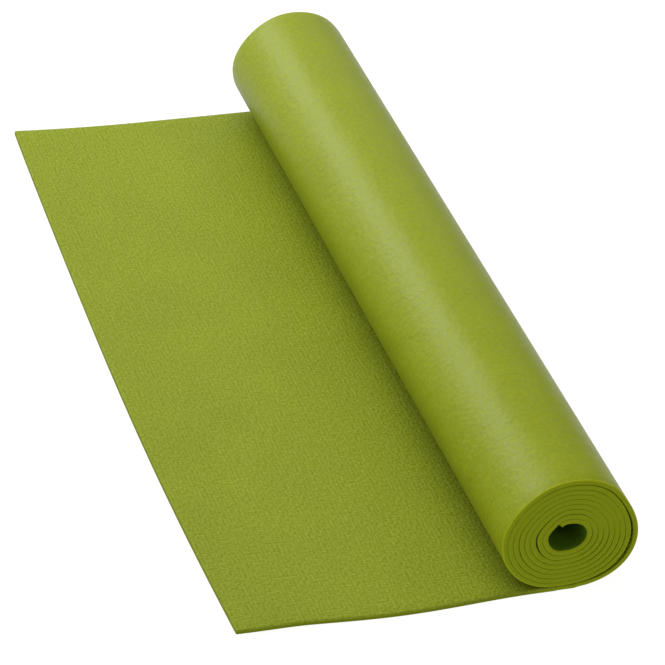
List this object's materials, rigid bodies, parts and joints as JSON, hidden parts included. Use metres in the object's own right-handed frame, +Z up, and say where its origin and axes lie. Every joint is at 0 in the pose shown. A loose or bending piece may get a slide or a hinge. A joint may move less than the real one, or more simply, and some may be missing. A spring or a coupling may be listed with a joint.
{
  "type": "exercise mat",
  "caption": "Foam exercise mat wound into a roll, with its free end unrolled and lying flat on the floor.",
  "frame": {"origin": "on the floor, in the middle of the roll's contact strip, at the middle of the mat's width", "axes": "+Z up; +Y along the roll; +X away from the free end, which lies towards -X"},
  "size_m": [0.2695, 0.61, 0.0854],
  "materials": {
    "mat_foam": "satin",
    "mat_scrim": "matte"
  },
  "bodies": {
    "roll": {"roll_foam": "mat_foam", "roll_scrim": "mat_scrim"},
    "strip_01": {"strip_01_foam": "mat_foam", "strip_01_scrim": "mat_scrim"},
    "strip_02": {"strip_02_foam": "mat_foam", "strip_02_scrim": "mat_scrim"},
    "strip_03": {"strip_03_foam": "mat_foam", "strip_03_scrim": "mat_scrim"},
    "strip_04": {"strip_04_foam": "mat_foam", "strip_04_scrim": "mat_scrim"},
    "strip_05": {"strip_05_foam": "mat_foam", "strip_05_scrim": "mat_scrim"},
    "strip_06": {"strip_06_foam": "mat_foam", "strip_06_scrim": "mat_scrim"},
    "strip_07": {"strip_07_foam": "mat_foam", "strip_07_scrim": "mat_scrim"},
    "strip_08": {"strip_08_foam": "mat_foam", "strip_08_scrim": "mat_scrim"},
    "strip_09": {"strip_09_foam": "mat_foam", "strip_09_scrim": "mat_scrim"},
    "strip_10": {"strip_10_foam": "mat_foam", "strip_10_scrim": "mat_scrim"},
    "strip_11": {"strip_11_foam": "mat_foam", "strip_11_scrim": "mat_scrim"},
    "strip_12": {"strip_12_foam": "mat_foam", "strip_12_scrim": "mat_scrim"},
    "strip_13": {"strip_13_foam": "mat_foam", "strip_13_scrim": "mat_scrim"},
    "strip_14": {"strip_14_foam": "mat_foam", "strip_14_scrim": "mat_scrim"},
    "strip_15": {"strip_15_foam": "mat_foam", "strip_15_scrim": "mat_scrim"},
    "strip_16": {"strip_16_foam": "mat_foam", "strip_16_scrim": "mat_scrim"},
    "strip_17": {"strip_17_foam": "mat_foam", "strip_17_scrim": "mat_scrim"},
    "strip_18": {"strip_18_foam": "mat_foam", "strip_18_scrim": "mat_scrim"},
    "strip_19": {"strip_19_foam": "mat_foam", "strip_19_scrim": "mat_scrim"}
  },
  "joints": [
    {"name": "roll_up", "type": "hinge", "parent": "roll", "child": "strip_01", "pos_m": [-0.008, 0, 0.0017], "axis": [0, 1, 0], "range_deg": [0, 9.51]},
    {"name": "bend_02", "type": "hinge", "parent": "strip_01", "child": "strip_02", "pos_m": [-0.01866, 0, 0.0017], "axis": [0, 1, 0], "range_deg": [0, 19.88]},
    {"name": "bend_03", "type": "hinge", "parent": "strip_02", "child": "strip_03", "pos_m": [-0.02931, 0, 0.0017], "axis": [0, 1, 0], "range_deg": [0, 14]},
    {"name": "bend_04", "type": "hinge", "parent": "strip_03", "child": "strip_04", "pos_m": [-0.03997, 0, 0.0017], "axis": [0, 1, 0], "range_deg": [0, 13.91]},
    {"name": "bend_05", "type": "hinge", "parent": "strip_04", "child": "strip_05", "pos_m": [-0.05062, 0, 0.0017], "axis": [0, 1, 0], "range_deg": [0, 14.14]},
    {"name": "bend_06", "type": "hinge", "parent": "strip_05", "child": "strip_06", "pos_m": [-0.06128, 0, 0.0017], "axis": [0, 1, 0], "range_deg": [0, 14.97]},
    {"name": "bend_07", "type": "hinge", "parent": "strip_06", "child": "strip_07", "pos_m": [-0.07193, 0, 0.0017], "axis": [0, 1, 0], "range_deg": [0, 16.93]},
    {"name": "bend_08", "type": "hinge", "parent": "strip_07", "child": "strip_08", "pos_m": [-0.08259, 0, 0.0017], "axis": [0, 1, 0], "range_deg": [0, 14.68]},
    {"name": "bend_09", "type": "hinge", "parent": "strip_08", "child": "strip_09", "pos_m": [-0.09324, 0, 0.0017], "axis": [0, 1, 0], "range_deg": [0, 11.64]},
    {"name": "bend_10", "type": "hinge", "parent": "strip_09", "child": "strip_10", "pos_m": [-0.1039, 0, 0.0017], "axis": [0, 1, 0], "range_deg": [0, 10.58]},
    {"name": "free_end_curl", "type": "hinge", "parent": "strip_10", "child": "strip_11", "pos_m": [-0.11456, 0, 0.0017], "axis": [0, 1, 0], "range_deg": [-0.37, 11.83]},
    {"name": "bend_12", "type": "hinge", "parent": "strip_11", "child": "strip_12", "pos_m": [-0.12521, 0, 0.00177], "axis": [0, 1, 0], "range_deg": [-0.44, 14.06]},
    {"name": "bend_13", "type": "hinge", "parent": "strip_12", "child": "strip_13", "pos_m": [-0.13587, 0, 0.00192], "axis": [0, 1, 0], "range_deg": [-0.41, 13.22]},
    {"name": "bend_14", "type": "hinge", "parent": "strip_13", "child": "strip_14", "pos_m": [-0.14652, 0, 0.00214], "axis": [0, 1, 0], "range_deg": [-0.36, 11.54]},
    {"name": "bend_15", "type": "hinge", "parent": "strip_14", "child": "strip_15", "pos_m": [-0.15717, 0, 0.00243], "axis": [0, 1, 0], "range_deg": [-0.42, 13.45]},
    {"name": "bend_16", "type": "hinge", "parent": "strip_15", "child": "strip_16", "pos_m": [-0.16782, 0, 0.0028], "axis": [0, 1, 0], "range_deg": [-0.45, 14.53]},
    {"name": "bend_17", "type": "hinge", "parent": "strip_16", "child": "strip_17", "pos_m": [-0.17847, 0, 0.00325], "axis": [0, 1, 0], "range_deg": [-0.36, 11.78]},
    {"name": "bend_18", "type": "hinge", "parent": "strip_17", "child": "strip_18", "pos_m": [-0.18911, 0, 0.00377], "axis": [0, 1, 0], "range_deg": [-0.22, 7.04]},
    {"name": "bend_19", "type": "hinge", "parent": "strip_18", "child": "strip_19", "pos_m": [-0.19975, 0, 0.00433], "axis": [0, 1, 0], "range_deg": [-0.36, 11.76]}
  ],
  "couplings": [
    {"joint": "bend_02", "follows": "roll_up", "ratio": 2.091},
    {"joint": "bend_03", "follows": "roll_up", "ratio": 1.4726},
    {"joint": "bend_04", "follows": "roll_up", "ratio": 1.4627},
    {"joint": "bend_05", "follows": "roll_up", "ratio": 1.487},
    {"joint": "bend_06", "follows": "roll_up", "ratio": 1.5738},
    {"joint": "bend_07", "follows": "roll_up", "ratio": 1.7805},
    {"joint": "bend_08", "follows": "roll_up", "ratio": 1.5438},
    {"joint": "bend_09", "follows": "roll_up", "ratio": 1.2236},
    {"joint": "bend_10", "follows": "roll_up", "ratio": 1.1123},
    {"joint": "bend_12", "follows": "free_end_curl", "ratio": 1.1878},
    {"joint": "bend_13", "follows": "free_end_curl", "ratio": 1.1174},
    {"joint": "bend_14", "follows": "free_end_curl", "ratio": 0.97494},
    {"joint": "bend_15", "follows": "free_end_curl", "ratio": 1.1362},
    {"joint": "bend_16", "follows": "free_end_curl", "ratio": 1.2275},
    {"joint": "bend_17", "follows": "free_end_curl", "ratio": 0.99572},
    {"joint": "bend_18", "follows": "free_end_curl", "ratio": 0.59494},
    {"joint": "bend_19", "follows": "free_end_curl", "ratio": 0.99402}
  ]
}
